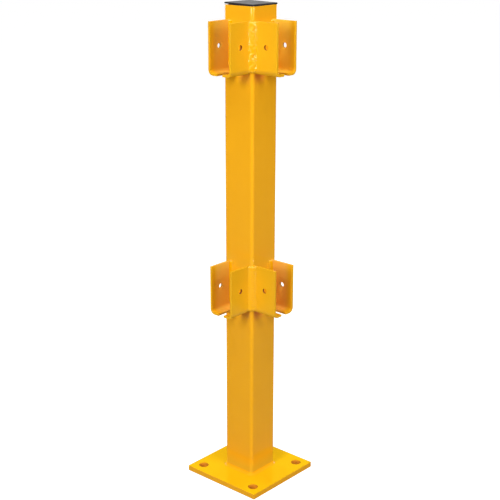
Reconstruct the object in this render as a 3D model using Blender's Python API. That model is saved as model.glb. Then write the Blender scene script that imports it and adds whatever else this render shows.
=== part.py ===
"""Corner post of a drop-in guard rail: a square tube welded to an anchor plate, with two pairs of rail cradles.

The origin is on the floor under the tube's axis, +Z is up. One cradle of each pair stands out along -X (left), the
other along -Y (right). A cradle is two folded plates: the inner one sits at the tube's front corner, where the two
cradles meet, and the outer one nearer the middle of the tube's face. A rail drops in between them onto their lips.
"""

import math

import bmesh
import bpy
from mathutils import Matrix, Vector

MM = 0.001

# Clearance between pieces that touch
GAP = 0.3 * MM

# Base plate and its anchor holes
PLATE_SIDE = 203.2 * MM
PLATE_THICK = 12.7 * MM
PLATE_EDGE = 0.9 * MM
ANCHOR_EDGE = 25.4 * MM
ANCHOR_HOLE = 22.2 * MM

# Post tube
POST_HEIGHT = 1066.8 * MM
TUBE_SIDE = 80.0 * MM
TUBE_CORNER = 7.0 * MM
TUBE_WALL = 4.8 * MM
TUBE_EDGE = 0.4 * MM

# End cap, pushed in with one corner standing proud
CAP_INSET = 0.5 * MM
CAP_CORNER = 2.5 * MM
CAP_FLANGE = 3.2 * MM
CAP_EDGE = 0.6 * MM
CAP_TILT = math.radians(0.9)
CAP_SKIRT_DEPTH = 20.0 * MM
CAP_SKIRT_WALL = 2.2 * MM
CAP_SKIRT_CLEARANCE = 1.6 * MM
CAP_FIN_CLEARANCE = 0.6 * MM
CAP_FIN_THICK = 1.4 * MM
CAP_FINS = 3

# Folded cradle plates
CRADLE_HEIGHT = 108.8 * MM
CRADLE_REACH = 61.6 * MM
CRADLE_STEEL = 4.8 * MM
CRADLE_BEND = 7.0 * MM
CRADLE_LIP = 23.9 * MM
CRADLE_EDGE = 0.5 * MM
RAIL_SPACE = 52.8 * MM
INNER_SETBACK = 3.8 * MM
RAIL_HOLE = 11.0 * MM
RAIL_HOLE_DROP = 50.8 * MM
RAIL_HOLE_REACH = 32.8 * MM
UPPER_DROP = 28.2 * MM
LEVEL_SPACING = 520.0 * MM

# Weld beads
CORNER_BEAD_LEG = 9.1 * MM
CORNER_BEAD_CROWN = 1.0 * MM
PLATE_BEAD_LEG = 7.0 * MM
PLATE_BEAD_CROWN = 0.8 * MM
FOOT_BEAD_LEG = 7.0 * MM
FOOT_BEAD_CROWN = 0.5 * MM
BEAD_RIPPLE_PITCH = 6.0 * MM
UPPER_RIPPLE = 0.45 * MM
LOWER_RIPPLE = 0.2 * MM
BEAD_END_SETBACK = 1.2 * MM
BEAD_END_ROUND = 4.0 * MM
BEAD_END_SHARE = 0.55

# Facets
CORNER_STEPS = 6
BEND_STEPS = 6
HOLE_STEPS = 28
FACE_STEPS = 6
RINGS_PER_RIPPLE = 3
CUT_MARGIN = 2.0 * MM

# Sizes that follow from the ones above
TUBE_HALF = TUBE_SIDE / 2
OUTER_BEND = CRADLE_BEND + CRADLE_STEEL
INNER_FACE = TUBE_HALF - INNER_SETBACK
OUTER_FACE = RAIL_SPACE + 2 * CRADLE_STEEL - INNER_FACE
UPPER_TOP = POST_HEIGHT - UPPER_DROP
CRADLE_TOPS = {"upper": UPPER_TOP, "lower": UPPER_TOP - LEVEL_SPACING}
RIPPLES = {"upper": UPPER_RIPPLE, "lower": LOWER_RIPPLE}

# Each cradle's turn about Z, and the sense in which it is handed
CRADLE_SIDES = {"left": (math.pi, 1), "right": (-math.pi / 2, -1)}


def clear_scene():
    for obj in list(bpy.data.objects):
        bpy.data.objects.remove(obj, do_unlink=True)


def linear(value):
    """One channel of an sRGB colour, 0 to 255, as the linear value that a shader takes."""
    share = value / 255
    return share / 12.92 if share <= 0.04045 else ((share + 0.055) / 1.055) ** 2.4


def surface(name, colour, roughness, metallic=0.0):
    material = bpy.data.materials.new(name)
    material.use_nodes = True
    shader = material.node_tree.nodes["Principled BSDF"]
    shader.inputs["Base Color"].default_value = (*(linear(channel) for channel in colour), 1.0)
    shader.inputs["Roughness"].default_value = roughness
    shader.inputs["Metallic"].default_value = metallic
    return material


def tube_paint():
    return surface("tube_yellow_powder_coat", (242, 176, 24), 0.3)


def plate_paint():
    return surface("plate_yellow_powder_coat", (250, 190, 16), 0.28)


def cradle_paint():
    return surface("cradle_yellow_powder_coat", (244, 178, 24), 0.3)


def weld_paint():
    return surface("weld_yellow_powder_coat", (246, 182, 22), 0.26)


def cap_plastic():
    return surface("black_moulded_plastic", (38, 36, 36), 0.45)


def arc(centre, radius, start, end, steps):
    """Points in a plane along an arc, both ends included. Angles are in degrees."""
    points = []
    for step in range(steps + 1):
        angle = math.radians(start + (end - start) * step / steps)
        points.append((centre[0] + radius * math.cos(angle), centre[1] + radius * math.sin(angle)))
    return points


def rounded_square(half, radius, height):
    """A square loop at one height, centred on Z, with its corners rounded."""
    inset = half - radius
    points = []
    for turn in range(4):
        middle = math.radians(45 + 90 * turn)
        centre = (math.copysign(inset, math.cos(middle)), math.copysign(inset, math.sin(middle)))
        points += arc(centre, radius, 90 * turn, 90 * (turn + 1), CORNER_STEPS)
    return [(x, y, height) for x, y in points]


def skin(loops, ring=False):
    """A closed solid through loops with equally many points: capped at both ends, or joined last to first."""
    form = bmesh.new()
    rows = [[form.verts.new(point) for point in loop] for loop in loops]
    following = rows[1:] + rows[:1] if ring else rows[1:]
    for low, high in zip(rows, following):
        for here, point in enumerate(low):
            there = (here + 1) % len(low)
            form.faces.new((point, low[there], high[there], high[here]))
    if not ring:
        form.faces.new(list(reversed(rows[0])))
        form.faces.new(rows[-1])
    bmesh.ops.recalc_face_normals(form, faces=form.faces)
    return form


def add_object(name, form, material=None, parent=None):
    mesh = bpy.data.meshes.new(name)
    form.to_mesh(mesh)
    form.free()
    obj = bpy.data.objects.new(name, mesh)
    bpy.context.scene.collection.objects.link(obj)
    if material:
        mesh.materials.append(material)
        mesh.shade_smooth()
        mesh.set_sharp_from_angle(angle=math.radians(35))
    obj.parent = parent
    return obj


def soften_edges(obj, width, segments=2):
    bevel = obj.modifiers.new("softened edges", "BEVEL")
    bevel.width = width
    bevel.segments = segments
    bevel.limit_method = "ANGLE"
    bevel.angle_limit = math.radians(40)


def cut(obj, cutter):
    cutter.hide_render = True
    cutter.display_type = "WIRE"
    hole = obj.modifiers.new(cutter.name, "BOOLEAN")
    hole.operation = "DIFFERENCE"
    hole.solver = "EXACT"
    hole.object = cutter


def drill(diameter, length, places):
    """Upright cylinders for cutting, centred on the places given."""
    form = bmesh.new()
    for place in places:
        bmesh.ops.create_cone(
            form,
            cap_ends=True,
            segments=HOLE_STEPS,
            radius1=diameter / 2,
            radius2=diameter / 2,
            depth=length,
            matrix=Matrix.Translation(place),
        )
    return form


def make_base_plate():
    half = PLATE_SIDE / 2
    corners = [(-half, -half), (half, -half), (half, half), (-half, half)]
    form = skin([[(x, y, z) for x, y in corners] for z in (0, PLATE_THICK)])
    plate = add_object("base_plate", form, plate_paint())
    soften_edges(plate, PLATE_EDGE)
    reach = half - ANCHOR_EDGE
    places = [Vector((x, y, PLATE_THICK / 2)) for x in (-reach, reach) for y in (-reach, reach)]
    drills = drill(ANCHOR_HOLE, PLATE_THICK + 2 * CUT_MARGIN, places)
    cut(plate, add_object("anchor_hole_cutter", drills))


def make_post_tube():
    bottom = PLATE_THICK + GAP
    bore_half = TUBE_HALF - TUBE_WALL
    bore_corner = max(TUBE_CORNER - TUBE_WALL, TUBE_EDGE)
    loops = [
        rounded_square(TUBE_HALF, TUBE_CORNER, bottom),
        rounded_square(TUBE_HALF, TUBE_CORNER, POST_HEIGHT),
        rounded_square(bore_half, bore_corner, POST_HEIGHT),
        rounded_square(bore_half, bore_corner, bottom),
    ]
    tube = add_object("post_tube", skin(loops, ring=True), tube_paint())
    soften_edges(tube, TUBE_EDGE, 1)


def make_foot_weld():
    """A smooth fillet all round the tube's foot."""
    near = TUBE_HALF + GAP
    low = PLATE_THICK + GAP
    leg = FOOT_BEAD_LEG - GAP
    profile = [(near, low)]
    for step in range(FACE_STEPS + 1):
        share = step / FACE_STEPS
        crown = FOOT_BEAD_CROWN * (1 - (2 * share - 1) ** 2) / math.sqrt(2)
        profile.append((near + leg * (1 - share) + crown, low + leg * share + crown))
    loops = [rounded_square(half, TUBE_CORNER + half - TUBE_HALF, height) for half, height in profile]
    add_object("foot_weld", skin(loops, ring=True), weld_paint())


def make_end_cap():
    """A flange over the tube's end, with a finned skirt inside the bore. It is built with the flange's underside at 0."""
    half = TUBE_HALF - CAP_INSET
    bore_half = TUBE_HALF - TUBE_WALL
    skirt = bore_half - CAP_SKIRT_CLEARANCE
    fin = bore_half - CAP_FIN_CLEARANCE
    hollow = skirt - CAP_SKIRT_WALL
    fin_pitch = CAP_SKIRT_DEPTH / (CAP_FINS + 1)
    outline = [
        (half - CAP_EDGE, CAP_FLANGE),
        (half, CAP_FLANGE - CAP_EDGE),
        (half, 0),
        (skirt, 0),
    ]
    for number in range(1, CAP_FINS + 1):
        middle = -fin_pitch * number
        root = CAP_FIN_THICK / 2
        outline += [(skirt, middle + root), (fin, middle + root / 2), (fin, middle - root / 2), (skirt, middle - root)]
    outline += [(skirt, -CAP_SKIRT_DEPTH), (hollow, -CAP_SKIRT_DEPTH), (hollow, 0)]
    loops = [rounded_square(reach, CAP_CORNER, height) for reach, height in outline]
    cap = add_object("end_cap", skin(loops), cap_plastic())
    seated_corner = Vector((half, -half, 0))
    seat = Matrix.Translation((0, 0, POST_HEIGHT + GAP)) @ Matrix.Translation(seated_corner)
    lean = Matrix.Rotation(CAP_TILT, 4, Vector((1, 1, 0)).normalized())
    cap.matrix_world = seat @ lean @ Matrix.Translation(-seated_corner)


def folded_plate(hand):
    """A cradle plate: an upright leg, one bend and a short lip. X runs out from the tube, hand * Y to the partner."""
    inner = (OUTER_BEND, OUTER_BEND)
    profile = [(0, CRADLE_HEIGHT), (CRADLE_STEEL, CRADLE_HEIGHT)]
    profile += arc(inner, CRADLE_BEND, 180, 270, BEND_STEPS)
    profile += [(CRADLE_LIP, CRADLE_STEEL), (CRADLE_LIP, 0)]
    profile += arc(inner, OUTER_BEND, 270, 180, BEND_STEPS)
    return skin([[(x, hand * y, z) for y, z in profile] for x in (GAP, CRADLE_REACH)])


def make_cradle_plate(name, frame, face, hand):
    plate = add_object(name, folded_plate(hand), cradle_paint(), frame)
    plate.location = (TUBE_HALF, face, 0)
    soften_edges(plate, CRADLE_EDGE)
    length = CRADLE_STEEL + 2 * CUT_MARGIN
    cutter = add_object(name + "_hole_cutter", drill(RAIL_HOLE, length, [Vector()]), parent=frame)
    middle = face + hand * CRADLE_STEEL / 2
    cutter.location = (TUBE_HALF + RAIL_HOLE_REACH, middle, CRADLE_HEIGHT - RAIL_HOLE_DROP)
    cutter.rotation_euler = (math.pi / 2, 0, 0)
    cut(plate, cutter)


def bead_heights(bottom, top):
    """Heights of a bead's rings, a few to each ripple."""
    rings = round((top - bottom) / BEAD_RIPPLE_PITCH * RINGS_PER_RIPPLE)
    return [bottom + (top - bottom) * ring / rings for ring in range(rings + 1)]


def bead_swell(height, bottom, top):
    """How full the bead is at a height: 1 along its run, and less where its ends round off."""
    from_end = min(max(min(height - bottom, top - height) / BEAD_END_ROUND, 0), 1)
    return BEAD_END_SHARE + (1 - BEAD_END_SHARE) * math.sqrt(1 - (1 - from_end) ** 2)


def ripple(height, across, depth):
    """The stacked crescents that a weld pool leaves. Across runs from -1 to 1 over the bead's face."""
    phase = height / BEAD_RIPPLE_PITCH + 0.3 * (1 - across * across)
    return depth * (1 - across * across) * math.cos(2 * math.pi * phase)


def bead_face(start, end, bulge, height, crown, depth):
    """Points between a bead's two toes, swelling towards bulge."""
    points = []
    for step in range(1, FACE_STEPS):
        share = step / FACE_STEPS
        across = 2 * share - 1
        rise = crown * (1 - across * across) + ripple(height, across, depth)
        chord = start + (end - start) * share
        points.append(chord + bulge * rise)
    return points


def make_plate_weld(name, frame, face, hand, depth):
    """The fillet where an outer cradle plate meets the tube. Hand is the side of the plate that it runs along."""
    bottom = OUTER_BEND + BEAD_END_SETBACK
    top = CRADLE_HEIGHT - BEAD_END_SETBACK
    loops = []
    for height in bead_heights(bottom, top):
        swell = bead_swell(height, bottom, top)
        reach = PLATE_BEAD_LEG * swell
        root = Vector((GAP, GAP, height))
        plate_toe = Vector((reach, GAP, height))
        tube_toe = Vector((GAP, reach, height))
        bulge = Vector((1, 1, 0)).normalized()
        face_points = bead_face(plate_toe, tube_toe, bulge, height, PLATE_BEAD_CROWN * swell, depth)
        loops.append([(x, hand * y, z) for x, y, z in [root, plate_toe, *face_points, tube_toe]])
    bead = add_object(name, skin(loops), weld_paint(), frame)
    bead.location = (TUBE_HALF, face, 0)


def bend_recess(height):
    """How far a cradle plate's outer face has curved away at a height above the plate's foot."""
    if height >= OUTER_BEND:
        return 0.0
    return OUTER_BEND - math.sqrt(OUTER_BEND**2 - (OUTER_BEND - height) ** 2)


def corner_bead_bottom():
    """The height above the plates' feet at which their bends have laid the tube's whole corner radius bare."""
    bare = min(max(INNER_FACE + GAP - (TUBE_HALF - TUBE_CORNER), 0), OUTER_BEND)
    return OUTER_BEND - math.sqrt(OUTER_BEND**2 - (OUTER_BEND - bare) ** 2)


def corner_bead_loop(height, bottom, top, depth):
    """One section of the bead that fills the corner between the two inner plates, over the tube's rounded corner."""
    swell = bead_swell(height, bottom, top)
    side = INNER_FACE - bend_recess(height) + GAP
    toe = TUBE_HALF + CORNER_BEAD_LEG * swell
    inset = TUBE_HALF - TUBE_CORNER
    radius = TUBE_CORNER + GAP
    start = math.asin(min(max((side - inset) / radius, 0), math.sqrt(0.5)))
    steps = CORNER_STEPS
    seat = [Vector((-inset - radius * math.cos(start), -side, height))]
    for step in range(1, steps):
        angle = start + (math.pi / 2 - 2 * start) * step / steps
        seat.append(Vector((-inset - radius * math.cos(angle), -inset - radius * math.sin(angle), height)))
    seat.append(Vector((-side, -inset - radius * math.cos(start), height)))
    left_toe = Vector((-toe, -side, height))
    right_toe = Vector((-side, -toe, height))
    bulge = Vector((-1, -1, 0)).normalized()
    face_points = bead_face(right_toe, left_toe, bulge, height, CORNER_BEAD_CROWN * swell, depth)
    return [left_toe, *seat, right_toe, *face_points]


def make_corner_weld(level, cradle_top):
    bottom = corner_bead_bottom()
    top = CRADLE_HEIGHT - BEAD_END_SETBACK
    loops = [corner_bead_loop(height, bottom, top, RIPPLES[level]) for height in bead_heights(bottom, top)]
    bead = add_object(level + "_corner_weld", skin(loops), weld_paint())
    bead.location = (0, 0, cradle_top - CRADLE_HEIGHT)


def make_cradle(level, side):
    """Two folded plates that face each other, and the beads that hold the outer one."""
    turn, hand = CRADLE_SIDES[side]
    frame = bpy.data.objects.new(f"{level}_{side}_cradle", None)
    bpy.context.scene.collection.objects.link(frame)
    frame.location = (0, 0, CRADLE_TOPS[level] - CRADLE_HEIGHT)
    frame.rotation_euler = (0, 0, turn)
    name = f"{level}_{side}"
    depth = RIPPLES[level]
    make_cradle_plate(name + "_outer_plate", frame, -hand * OUTER_FACE, hand)
    make_cradle_plate(name + "_inner_plate", frame, hand * INNER_FACE, -hand)
    make_plate_weld(name + "_back_weld", frame, -hand * OUTER_FACE, -hand, depth)
    make_plate_weld(name + "_channel_weld", frame, hand * (CRADLE_STEEL - OUTER_FACE), hand, depth)


def main():
    clear_scene()
    make_base_plate()
    make_post_tube()
    make_foot_weld()
    make_end_cap()
    for level, cradle_top in CRADLE_TOPS.items():
        for side in CRADLE_SIDES:
            make_cradle(level, side)
        make_corner_weld(level, cradle_top)


main()
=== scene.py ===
"""Looks of the guard rail post: yellow powder coat, weld beads, a moulded cap, a white studio."""
import math
from functools import cached_property

import bmesh
import bpy
from mathutils import Matrix, Vector, noise


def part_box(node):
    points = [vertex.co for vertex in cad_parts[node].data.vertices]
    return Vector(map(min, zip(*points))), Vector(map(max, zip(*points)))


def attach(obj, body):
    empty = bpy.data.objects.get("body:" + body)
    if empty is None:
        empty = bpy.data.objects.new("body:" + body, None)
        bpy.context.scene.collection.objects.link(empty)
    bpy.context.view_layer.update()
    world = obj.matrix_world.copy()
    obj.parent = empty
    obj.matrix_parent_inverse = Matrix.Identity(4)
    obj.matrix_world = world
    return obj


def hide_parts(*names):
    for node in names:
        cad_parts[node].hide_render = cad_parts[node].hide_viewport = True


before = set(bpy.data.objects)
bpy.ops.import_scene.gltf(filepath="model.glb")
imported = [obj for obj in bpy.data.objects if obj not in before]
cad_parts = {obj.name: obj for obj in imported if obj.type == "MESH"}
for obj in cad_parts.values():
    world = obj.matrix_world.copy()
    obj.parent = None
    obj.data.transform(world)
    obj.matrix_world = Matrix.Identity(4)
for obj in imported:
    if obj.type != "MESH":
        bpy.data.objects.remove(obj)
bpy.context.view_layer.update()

BODY = "root"
MM = 0.001
X, Y, Z = range(3)
LEVELS = "upper", "lower"
# For the cradles of each side, the axis along them and the axis across them
SIDES = {"left": (X, Y), "right": (Y, X)}

# The photograph's view, as a pinhole camera: pixels, degrees and metres
IMAGE_SIDE = 500
FOCAL_PIXELS = 1118.8
SENSOR = 36.0
AZIMUTH = -48.532
ELEVATION = 17.644
ROLL = 0.115
DISTANCE = 2.4598
AIM_HEIGHT = 0.5368
AIM_ASIDE = -0.000965

# The solids' sizes that the beads and the painted shades follow
TUBE_HALF = 40.0 * MM
TUBE_CORNER = 7.0 * MM
PLATE_TOP = 12.7 * MM
STEEL = 4.8 * MM
OUTER_BEND = 11.8 * MM
HOLE_END = 28.8 * MM         # from a cradle plate's end in to its bolt hole
HOLE_DROP = 50.8 * MM        # from a cradle plate's top down to its bolt hole

# Weld beads: legs, how hollow the faces are, and how fine the meshes are
CORNER_LEG, CORNER_HOLLOW = 9.6 * MM, 0.22
PLATE_LEG, PLATE_HOLLOW = 7.0 * MM, 0.3
FOOT_LEG, FOOT_HOLLOW = 7.0 * MM, 0.6
LEG_SWAY = 0.05              # share by which a leg wanders
LEG_SWAY_PITCH = 6.0 * MM
END_RUN = 4.0 * MM           # a bead gets smaller over this length at its ends
END_SHARE = 0.55             # what is left of it there
SINK = 0.4 * MM              # how far a bead reaches into the steel that carries it
FACE_STEPS = 24
RING_STEP = 0.55 * MM
FOOT_RING_STEP = 1.2 * MM
FOOT_CORNER_STEPS = 10
SHARP_ANGLE = math.radians(70)

# Ripples and flattened drops on a bead's face
RIPPLE_PITCH = {"upper": 5.2 * MM, "lower": 4.0 * MM, "foot": 4.0 * MM}
RIPPLE_DEPTH = {"upper": 0.3 * MM, "lower": 0.12 * MM, "foot": 0.05 * MM}
LUMP_PITCH = 8.0 * MM
LUMP_DEPTH = {"upper": 0.75 * MM, "lower": 0.0, "foot": 0.0}

# Seeds: each bead has its own part of the noise
CORNER_SEED = {"upper": 11.0, "lower": 23.0}
FOOT_SEED = 61.0
PLATE_SEED = {"upper": 31.0, "lower": 47.0}
SIDE_SEED = {"left": 0.0, "right": 5.0}
PLACE_SEED = {"back": 0.0, "channel": 2.5}

# Powder coats, as linear colours: the common one, then where the coat is thin and where it is thick
TUBE_COAT = (0.97, 0.452, 0.012, 1), (0.98, 0.5, 0.02, 1), (0.95, 0.435, 0.012, 1)
FOLDED_COAT = (0.87, 0.45, 0.012, 1), (0.89, 0.51, 0.022, 1), (0.85, 0.43, 0.012, 1)
PLATE_COAT = (0.97, 0.57, 0.006, 1), (0.97, 0.61, 0.012, 1), (0.96, 0.55, 0.006, 1)
WELD_COAT = (0.9, 0.445, 0.001, 1), (0.92, 0.49, 0.004, 1), (0.88, 0.43, 0.001, 1)
FOOT_COAT = (0.95, 0.46, 0.008, 1), (0.96, 0.5, 0.02, 1), (0.94, 0.44, 0.008, 1)
FOLDED_GLOSS, FOLDED_IOR = 0.17, 1.3
MIRROR_IOR = 1.45            # how the anchor plate's gloss grows at a glancing angle
PEEL_DEPTH = 0.02 * MM       # of the orange peel

# Painted shade and painted light over the coat: colours that stand in for shadows, shade in holes
# and channels, and bounce light
# Painted shade round the tube's foot: less red, offsetting the anchor plate's orange bounce light
TUBE_FOOT_PAINTED_SHADE = (0.78, 0.44, 0.026, 1)
# Painted shade on the tube above the lower cradle: less red, offsetting the cradle's bounce light
ABOVE_CRADLE_PAINTED_SHADE = (0.9, 0.455, 0.02, 1)
# Painted shadow on the tube under the cradles' lips
UNDER_CRADLE_PAINTED_SHADOW = {Y: (0.9, 0.29, 0.03, 1), X: (0.97, 0.4, 0.03, 1)}     # by the face's axis
# Painted shade inside the cradle plates' bolt holes
BOLT_HOLE_PAINTED_SHADE = (0.5, 0.14, 0.02, 1)
# Painted shade on the anchor plate's edges, darker than its top
PLATE_EDGE_PAINTED_SHADE = (0.97, 0.46, 0.026, 1)
# Painted shade inside the anchor holes
ANCHOR_HOLE_PAINTED_SHADE = (0.8, 0.33, 0.03, 1)
# Painted shade and painted light on the outer plates' faces in the channels, one tone per plate
CHANNEL_PAINTED_LIGHT_AND_SHADE = {
    ("upper", "left"): (0.8, 0.455, 0.055, 1),
    ("upper", "right"): (0.95, 0.58, 0.055, 1),
    ("lower", "left"): (0.87, 0.5, 0.07, 1),
    ("lower", "right"): (0.89, 0.45, 0.07, 1),
}

# Studio: the world as a light, at the horizon and straight up, and the floor
WHITE = (1.0, 1.0, 1.0, 1.0)
HORIZON_LIGHT = 0.01
ZENITH_LIGHT = 0.04
FLOOR_TONE = (0.42, 0.42, 0.42, 1.0)
FLOOR_GLOW = 0.985
FLOOR_REACH = 40.0
FLOOR_DROP = 0.5 * MM
# Each lamp's place, what it points at, its width and height in metres, and its watts
LAMPS = {
    "left_softbox": ((-2.995, -0.183, 1.34), (0, 0, 1.34), 0.4, 1.2, 40.0),
    "right_softbox": ((0.275, -4.492, 1.51), (0, 0, 1.51), 0.5, 1.8, 62.0),
    "left_key": ((-2.3, -0.49, 1.95), (0, 0, 0.7), 0.5, 0.5, 14.0),
    "right_key": ((-0.46, -2.36, 1.95), (0, 0, 0.7), 0.5, 0.5, 12.0),
    "top_softbox": ((-0.5, -0.4, 2.8), (0, 0, 0.4), 2.0, 2.0, 42.0),
    "back_left_softbox": ((0.3, 2.9, 1.3), (0, 0, 0.9), 1.2, 1.6, 34.0),
    "back_right_softbox": ((2.9, 0.3, 1.3), (0, 0, 0.9), 1.2, 1.6, 34.0),
}


# Materials

def linear(value):
    share = value / 255
    return share / 12.92 if share <= 0.04045 else ((share + 0.055) / 1.055) ** 2.4


def rgb(*values):
    return (*(linear(v) for v in values), 1.0)


class Nodes:
    """Short ways to make and join the nodes of a material or of the world."""

    def __init__(self, owner, last="Principled BSDF"):
        owner.use_nodes = True
        self.owner = owner
        self.tree = owner.node_tree
        self.last = self.tree.nodes[last]

    def put(self, value, socket):
        """Joins a socket to another node's output, or gives it a constant."""
        if isinstance(value, bpy.types.NodeSocket):
            self.tree.links.new(value, socket)
        else:
            socket.default_value = value

    def fill(self, node, inputs):
        for name, value in inputs.items():
            self.put(value, node.inputs[name])

    def add(self, kind, inputs=(), **settings):
        node = self.tree.nodes.new("ShaderNode" + kind)
        for name, value in settings.items():
            setattr(node, name, value)
        self.fill(node, dict(inputs))
        return node

    @cached_property
    def position(self):
        return self.add("NewGeometry").outputs["Position"]

    def along(self, axis):
        return self.add("SeparateXYZ", {0: self.position}).outputs[axis]

    def noise(self, scale, detail=2.0, roughness=0.5, vector=None):
        return self.add("TexNoise", {"Scale": scale, "Detail": detail, "Roughness": roughness,
                                     "Vector": vector or self.position}).outputs["Fac"]

    def voronoi(self, scale):
        return self.add("TexVoronoi", {"Scale": scale, "Vector": self.position}).outputs["Distance"]

    def span(self, value, low, high, out_low=0.0, out_high=1.0):
        return self.add("MapRange", {"Value": value, "From Min": low, "From Max": high,
                                     "To Min": out_low, "To Max": out_high}).outputs["Result"]

    def math(self, kind, a, b):
        return self.add("Math", {0: a, 1: b}, operation=kind).outputs[0]

    def blend(self, factor, a, b):
        node = self.add("Mix", {"Factor": factor}, data_type="RGBA")
        colours = {socket.name: socket for socket in node.inputs if socket.type == "RGBA"}
        self.put(a, colours["A"])
        self.put(b, colours["B"])
        return next(socket for socket in node.outputs if socket.type == "RGBA")

    def bump(self, height, distance, normal=None):
        inputs = {"Distance": distance, "Strength": 1.0, "Height": height}
        if normal:
            inputs["Normal"] = normal
        return self.add("Bump", inputs).outputs["Normal"]


def powder_coat(name, coat, gloss, ior, tint=rgb(255, 240, 190), mirror=0.0, streaks=None,
                waves=0.12, painted_shades=()):
    """Glossy powder coat over steel: faint mottling, orange peel, and a thin coat in small spots.

    Each painted shade is a colour of painted shade or painted light and the spans where it sets in,
    each an axis with the place where the coat keeps its own tone and the place where the painted
    colour is full: shade painted into channels, holes and corners, light and shade painted where
    bounce light falls. Streaks are the noise's scales along the three axes, and waves are in
    millimetres.
    """
    colour, thin, thick = coat
    n = Nodes(bpy.data.materials.new(name))
    if mirror:
        rise = n.add("Fresnel", {"IOR": MIRROR_IOR}).outputs[0]
        n.fill(n.last, {"Metallic": n.span(rise, 0.035, 0.2, 0.0, mirror)})
    tone = n.blend(n.span(n.noise(14.0, 3.0, 0.55), 0.32, 0.68), thick, colour)
    tone = n.blend(n.span(n.noise(260.0), 0.62, 0.8, 0.0, 0.35), tone, thin)
    if streaks:
        stretched = n.add("VectorMath", {0: n.position, 1: streaks}, operation="MULTIPLY")
        drawn = n.noise(1.0, vector=stretched.outputs[0])
        tone = n.blend(n.span(drawn, 0.52, 0.75, 0.0, 0.5), tone, thick)
    # Painted shade and painted light, faded in over their spans
    for inner, *spans in painted_shades:
        share = 1.0
        for axis, full, painted_end in spans:
            share = n.math("MULTIPLY", n.span(n.along(axis), full, painted_end), share)
        tone = n.blend(share, tone, inner)
    rolled = n.bump(n.noise(22.0, 2.0, 0.45), waves * MM)
    n.fill(n.last, {
        "Specular IOR Level": 0.5,
        "IOR": ior,
        "Specular Tint": tint,
        "Base Color": tone,
        "Roughness": n.span(n.noise(60.0, 3.0, 0.6), 0.3, 0.7, gloss - 0.03, gloss + 0.05),
        "Normal": n.bump(n.noise(420.0), PEEL_DEPTH, rolled),
    })
    return n.owner


def moulded_plastic(name):
    """Black moulded plastic with a fine spark-eroded grain, a little scuffed and dusty on top."""
    n = Nodes(bpy.data.materials.new(name))
    scuff = n.noise(90.0, 4.0, 0.65)
    dust = n.noise(320.0, 3.0, 0.7)
    tone = n.blend(n.span(scuff, 0.4, 0.75), rgb(22, 19, 18), rgb(44, 42, 41))
    tone = n.blend(n.span(dust, 0.66, 0.8, 0.0, 0.5), tone, rgb(120, 118, 114))
    grain = n.bump(n.voronoi(1400.0), 0.03 * MM)
    n.fill(n.last, {
        "Specular IOR Level": 0.5,
        "IOR": 1.4,
        "Base Color": tone,
        "Roughness": n.span(scuff, 0.3, 0.75, 0.34, 0.5),
        "Normal": n.bump(n.noise(45.0), 0.1 * MM, grain),
    })
    return n.owner


def fade(axis, start, full, painted_end):
    """A painted shade's span, in millimetres from a place on an axis."""
    return axis, start + full * MM, start + painted_end * MM


def tube_painted_shades():
    """Painted shade round the tube's foot and above the lower cradle, and painted shadow below the
    cradles near its front corner.
    """
    found = [(TUBE_FOOT_PAINTED_SHADE, fade(Z, PLATE_TOP, 36, 14))]
    for level in LEVELS:
        low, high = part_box(f"{level}_left_inner_plate")
        for along, facing in ((X, Y), (Y, X)):
            found.append((UNDER_CRADLE_PAINTED_SHADOW[facing], fade(Z, low.z, -24, -4), fade(Z, low.z, 6, 0),
                          fade(along, 0, -36, -29), fade(along, 0, 2, -8),
                          fade(facing, 0, -34, -38)))
        if level == "lower":
            found += [(ABOVE_CRADLE_PAINTED_SHADE, fade(Z, high.z, 22, 2), fade(Z, high.z, -20, -8),
                       fade(facing, 0, -34, -38)) for facing in (X, Y)]
    return found


def plate_painted_shades():
    """Painted shade on the anchor plate's edges and inside its anchor holes."""
    inside = [fade(axis, 0, sign * 100, sign * 97) for axis in (X, Y) for sign in (-1, 1)]
    return ((PLATE_EDGE_PAINTED_SHADE, fade(Z, PLATE_TOP, -0.1, -0.8)),
            (ANCHOR_HOLE_PAINTED_SHADE, fade(Z, PLATE_TOP, -0.5, -2), *inside))


def inner_plate_coat(level, side):
    """Painted shade inside the bolt hole."""
    along, across = SIDES[side]
    low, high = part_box(f"{level}_{side}_inner_plate")
    middle = low[along] + HOLE_END
    height = high.z - HOLE_DROP
    hole = (BOLT_HOLE_PAINTED_SHADE, fade(across, low[across], 0.05, 0.6),
            fade(Z, height, -8, -7), fade(Z, height, 8, 7),
            fade(along, middle, -8, -7), fade(along, middle, 8, 7))
    return powder_coat(f"{level}_{side}_inner_powder_coat", FOLDED_COAT, FOLDED_GLOSS, FOLDED_IOR,
                       painted_shades=(hole,))


def outer_plate_coat(level, side):
    """Painted shade and painted light on the face in the channel, except near the cradle's open
    end.
    """
    along, across = SIDES[side]
    low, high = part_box(f"{level}_{side}_outer_plate")
    channel = (CHANNEL_PAINTED_LIGHT_AND_SHADE[level, side],
               (across, high[across] - 0.5 * STEEL, high[across] - 0.95 * STEEL),
               fade(along, low[along], 8, 20))
    return powder_coat(f"{level}_{side}_outer_powder_coat", FOLDED_COAT, FOLDED_GLOSS, FOLDED_IOR,
                       painted_shades=(channel,))


# Weld beads

def ripple(along, across, pitch, depth, seed):
    """Stacked crescents of a weld pool, uneven in pitch and height, with across from -1 to 1."""
    drift = noise.noise(Vector((along / (3.2 * pitch), seed, 0.0)))
    phase = along / pitch + 0.55 * drift + 0.42 * (1 - across * across)
    crest = abs(math.sin(math.pi * phase)) ** 0.7 - 0.62
    heave = noise.noise(Vector((along / (0.8 * pitch), seed + 7.3, across * 2.2)))
    return depth * (crest * (1 + 0.5 * heave) + 0.8 * heave)


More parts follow.
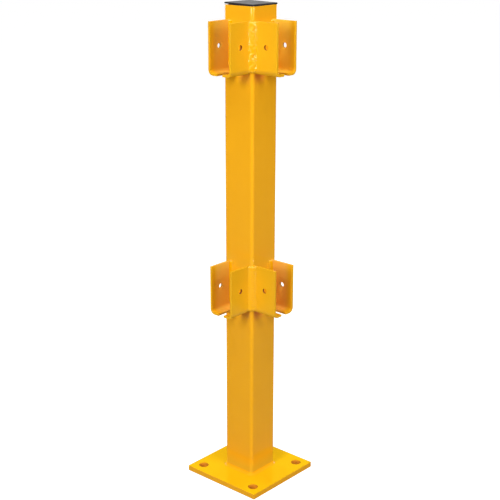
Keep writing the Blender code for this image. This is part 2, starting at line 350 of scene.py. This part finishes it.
def lump(along, aside, depth, seed):
    """Uneven columns of flattened drops, side by side over a bead's face."""
    if not depth:
        return 0.0
    wander = noise.noise(Vector((along / (1.6 * LUMP_PITCH), seed + 1.1, 0.0)))
    place = Vector((along / (0.9 * LUMP_PITCH), aside / (1.5 * LUMP_PITCH), seed + 5.7))
    swell = noise.noise(place)
    phase = aside / LUMP_PITCH + 0.6 * wander + 0.3 * swell
    return depth * (0.8 + swell) * math.cos(2 * math.pi * phase)


def bead_section(leg, hollow, along, kind, seed):
    """Points of a bead's section in its corner's own axes, from its toe on one face to the other.

    The face is a rational curve that leaves both faces along them: hollow is 0 for a straight
    line, 0.7 for an arc.
    """
    place = along / LEG_SWAY_PITCH
    a = leg * (1 + LEG_SWAY * noise.noise(Vector((place, seed + 2.0, 1.0))))
    b = leg * (1 + LEG_SWAY * noise.noise(Vector((place, seed + 4.0, 2.0))))
    width = math.hypot(a, b)
    points = []
    for step in range(FACE_STEPS + 1):
        share = step / FACE_STEPS
        across = 2 * share - 1
        near_a, near_b = (1 - share) ** 2, share**2
        total = near_a + near_b + 2 * hollow * share * (1 - share)
        rise = ripple(along, across, RIPPLE_PITCH[kind], RIPPLE_DEPTH[kind], seed)
        rise += lump(along, across * width / 2, LUMP_DEPTH[kind], seed)
        rise *= (1 - across * across) ** 0.7 / math.sqrt(2)
        points.append((a * near_a / total + rise - SINK / 8, b * near_b / total + rise - SINK / 8))
    return points


def with_root(section, leg):
    """A bead's section, closed inside the steel."""
    return section + [(-SINK, leg), (-SINK, -SINK), (leg, -SINK)]


def fullness(place, start, end):
    """How full a bead is near its ends."""
    near = min(max(min(place - start, end - place) / END_RUN, 0), 1)
    return END_SHARE + (1 - END_SHARE) * math.sqrt(1 - (1 - near) ** 2)


def stations(start, end, step=RING_STEP):
    count = max(round((end - start) / step), 1)
    return [start + (end - start) * i / count for i in range(count + 1)]


def skinned(name, loops, ring, material):
    """A closed mesh over loops of points. With ring the last loop joins the first."""
    form = bmesh.new()
    rows = [[form.verts.new(point) for point in loop] for loop in loops]
    following = rows[1:] + rows[:1] if ring else rows[1:]
    for low, high in zip(rows, following):
        for here, point in enumerate(low):
            there = (here + 1) % len(low)
            form.faces.new((point, low[there], high[there], high[here]))
    if not ring:
        form.faces.new(list(reversed(rows[0])))
        form.faces.new(rows[-1])
    bmesh.ops.recalc_face_normals(form, faces=form.faces)
    mesh = bpy.data.meshes.new(name)
    form.to_mesh(mesh)
    form.free()
    mesh.materials.append(material)
    mesh.shade_smooth()
    mesh.set_sharp_from_angle(angle=SHARP_ANGLE)
    piece = bpy.data.objects.new(name, mesh)
    bpy.context.scene.collection.objects.link(piece)
    return piece


def stand_in(piece, node):
    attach(piece, BODY)
    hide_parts(node)


def corner_bead(level, material):
    """The bead over the tube's front corner, between the inner plates and down their bends."""
    node = f"{level}_corner_weld"
    start, end = (corner.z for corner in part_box(node))
    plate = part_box(f"{level}_left_inner_plate")[0]
    loops = []
    for z in stations(start, end):
        drop = OUTER_BEND - (z - plate.z)
        recess = OUTER_BEND - math.sqrt(OUTER_BEND**2 - drop**2) if drop > 0 else 0.0
        face = -plate.y - recess
        leg = CORNER_LEG * fullness(z, start, end) + TUBE_HALF - face
        section = bead_section(leg, CORNER_HOLLOW, z, level, CORNER_SEED[level])
        loops.append([(-face - x, -face - y, z) for x, y in with_root(section, leg)])
    piece = skinned(f"{level}_corner_bead", loops, False, material)
    stand_in(piece, node)


def plate_bead(level, side, place, material):
    """The bead along one side of an outer plate, where it meets the tube."""
    node = f"{level}_{side}_{place}_weld"
    start, end = (corner.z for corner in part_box(node))
    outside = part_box(f"{level}_{side}_outer_plate")[1][SIDES[side][1]]
    face, away = (outside, 1) if place == "back" else (outside - STEEL, -1)
    seed = PLATE_SEED[level] + SIDE_SEED[side] + PLACE_SEED[place]
    loops = []
    for z in stations(start, end):
        leg = PLATE_LEG * fullness(z, start, end)
        section = bead_section(leg, PLATE_HOLLOW, z, level, seed)
        loop = []
        for out, aside in with_root(section, leg):
            along, across = -TUBE_HALF - out, face + away * aside
            loop.append((along, across, z) if side == "left" else (across, along, z))
        loops.append(loop)
    piece = skinned(f"{level}_{side}_{place}_bead", loops, False, material)
    stand_in(piece, node)


def foot_bead(material):
    """The fillet round the tube's foot, one closed run with rounded corners."""
    quarter = math.radians(90)
    inset = TUBE_HALF - TUBE_CORNER
    straight = stations(-inset, inset, FOOT_RING_STEP)[:-1]
    path = []
    for turn in range(4):
        angle = quarter * turn
        out = Vector((math.cos(angle), math.sin(angle), 0))
        aside = Vector((-math.sin(angle), math.cos(angle), 0))
        path += [(out * inset + aside * s, out) for s in straight]
        for step in range(FOOT_CORNER_STEPS):
            bend = angle + quarter * step / FOOT_CORNER_STEPS
            path.append((out * inset + aside * inset, Vector((math.cos(bend), math.sin(bend), 0))))
    loops = []
    run = 0.0
    before = None
    for centre, out in path:
        middle = centre + out * (TUBE_CORNER + FOOT_LEG / 2)
        run += (middle - before).length if before else 0.0
        before = middle
        section = bead_section(FOOT_LEG, FOOT_HOLLOW, run, "foot", FOOT_SEED)
        loop = []
        for away, above in with_root(section, FOOT_LEG):
            point = centre + out * (TUBE_CORNER + away)
            loop.append((point.x, point.y, PLATE_TOP + above))
        loops.append(loop)
    piece = skinned("foot_bead", loops, True, material)
    stand_in(piece, "foot_weld")


# Studio

def make_camera():
    az, el, roll = (math.radians(v) for v in (AZIMUTH, ELEVATION, ROLL))
    back = Vector((math.sin(az) * math.cos(el), -math.cos(az) * math.cos(el), math.sin(el)))
    right = Vector((math.cos(az), math.sin(az), 0))
    up = back.cross(right)
    level = right * math.cos(roll) + up * math.sin(roll)
    upright = up * math.cos(roll) - right * math.sin(roll)
    camera = bpy.data.objects.new("camera", bpy.data.cameras.new("camera"))
    bpy.context.scene.collection.objects.link(camera)
    pose = Matrix((level, upright, back)).transposed().to_4x4()
    pose.translation = Vector((0, 0, AIM_HEIGHT)) + right * AIM_ASIDE + back * DISTANCE
    camera.matrix_world = pose
    camera.data.sensor_width = SENSOR
    camera.data.lens = FOCAL_PIXELS * SENSOR / IMAGE_SIDE
    bpy.context.scene.camera = camera


def make_world():
    """White to the eye everywhere. As light it is weak at the horizon and stronger overhead."""
    world = bpy.data.worlds.new("white_studio")
    bpy.context.scene.world = world
    n = Nodes(world, "Background")
    direction = n.add("TexCoord").outputs["Generated"]
    height = n.add("SeparateXYZ", {0: direction}).outputs["Z"]
    light = n.span(height, 0.0, 1.0, HORIZON_LIGHT, ZENITH_LIGHT)
    path = n.add("LightPath").outputs
    eye = path["Is Camera Ray"]
    for ray in ("Is Glossy Ray", "Is Transmission Ray"):
        eye = n.math("MAXIMUM", eye, path[ray])
    n.fill(n.last, {"Color": WHITE, "Strength": n.span(eye, 0.0, 1.0, light, 1.0)})


def make_lights():
    for name, (place, target, width, height, watts) in LAMPS.items():
        data = bpy.data.lights.new(name, "AREA")
        data.shape = "RECTANGLE"
        data.size = width
        data.size_y = height
        data.energy = watts
        lamp = bpy.data.objects.new(name, data)
        bpy.context.scene.collection.objects.link(lamp)
        lamp.location = place
        aim = Vector(target) - Vector(place)
        lamp.rotation_euler = aim.to_track_quat("-Z", "Y").to_euler()


def make_floor():
    """A pale matt floor that reads as white away from the object and keeps its soft shadow."""
    mesh = bpy.data.meshes.new("floor")
    signs = (-1, -1), (1, -1), (1, 1), (-1, 1)
    corners = [(x * FLOOR_REACH, y * FLOOR_REACH, 0) for x, y in signs]
    mesh.from_pydata(corners, [], [(0, 1, 2, 3)])
    floor = bpy.data.objects.new("floor", mesh)
    bpy.context.scene.collection.objects.link(floor)
    floor.location.z = -FLOOR_DROP
    n = Nodes(bpy.data.materials.new("pale_floor"))
    eye = n.add("LightPath").outputs["Is Camera Ray"]
    n.fill(n.last, {
        "Base Color": FLOOR_TONE,
        "Roughness": 0.9,
        "Specular IOR Level": 0.0,
        "Emission Color": WHITE,
        "Emission Strength": n.math("MULTIPLY", eye, FLOOR_GLOW),
    })
    mesh.materials.append(n.owner)


def paint(node, material):
    """Gives a node that keeps its solid a finished material."""
    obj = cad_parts[node]
    for slot in obj.material_slots:
        slot.material = material
    if not obj.material_slots:
        obj.data.materials.append(material)


def main():
    bpy.context.scene.view_settings.view_transform = "Standard"
    make_camera()
    make_world()
    make_lights()
    make_floor()

    cradles = [(level, side) for level in LEVELS for side in SIDES]
    tube = powder_coat("tube_powder_coat", TUBE_COAT, gloss=0.06, ior=1.33, waves=0.05,
                       streaks=(90.0, 90.0, 1.5), painted_shades=tube_painted_shades())
    inner = {cradle: inner_plate_coat(*cradle) for cradle in cradles}
    outer = {cradle: outer_plate_coat(*cradle) for cradle in cradles}
    plate = powder_coat("plate_powder_coat", PLATE_COAT, gloss=0.045, ior=1.05, waves=0.05,
                        tint=rgb(255, 250, 90), mirror=0.5, painted_shades=plate_painted_shades())
    weld = powder_coat("weld_powder_coat", WELD_COAT, gloss=0.03, ior=1.6,
                       tint=rgb(255, 250, 225))
    foot = powder_coat("foot_powder_coat", FOOT_COAT, gloss=0.14, ior=1.15)

    paint("post_tube", tube)
    paint("base_plate", plate)
    paint("end_cap", moulded_plastic("black_cap_plastic"))
    for level in LEVELS:
        for side in SIDES:
            paint(f"{level}_{side}_inner_plate", inner[level, side])
            paint(f"{level}_{side}_outer_plate", outer[level, side])
            for place in PLACE_SEED:
                plate_bead(level, side, place, weld)
        corner_bead(level, weld)
    foot_bead(foot)


main()
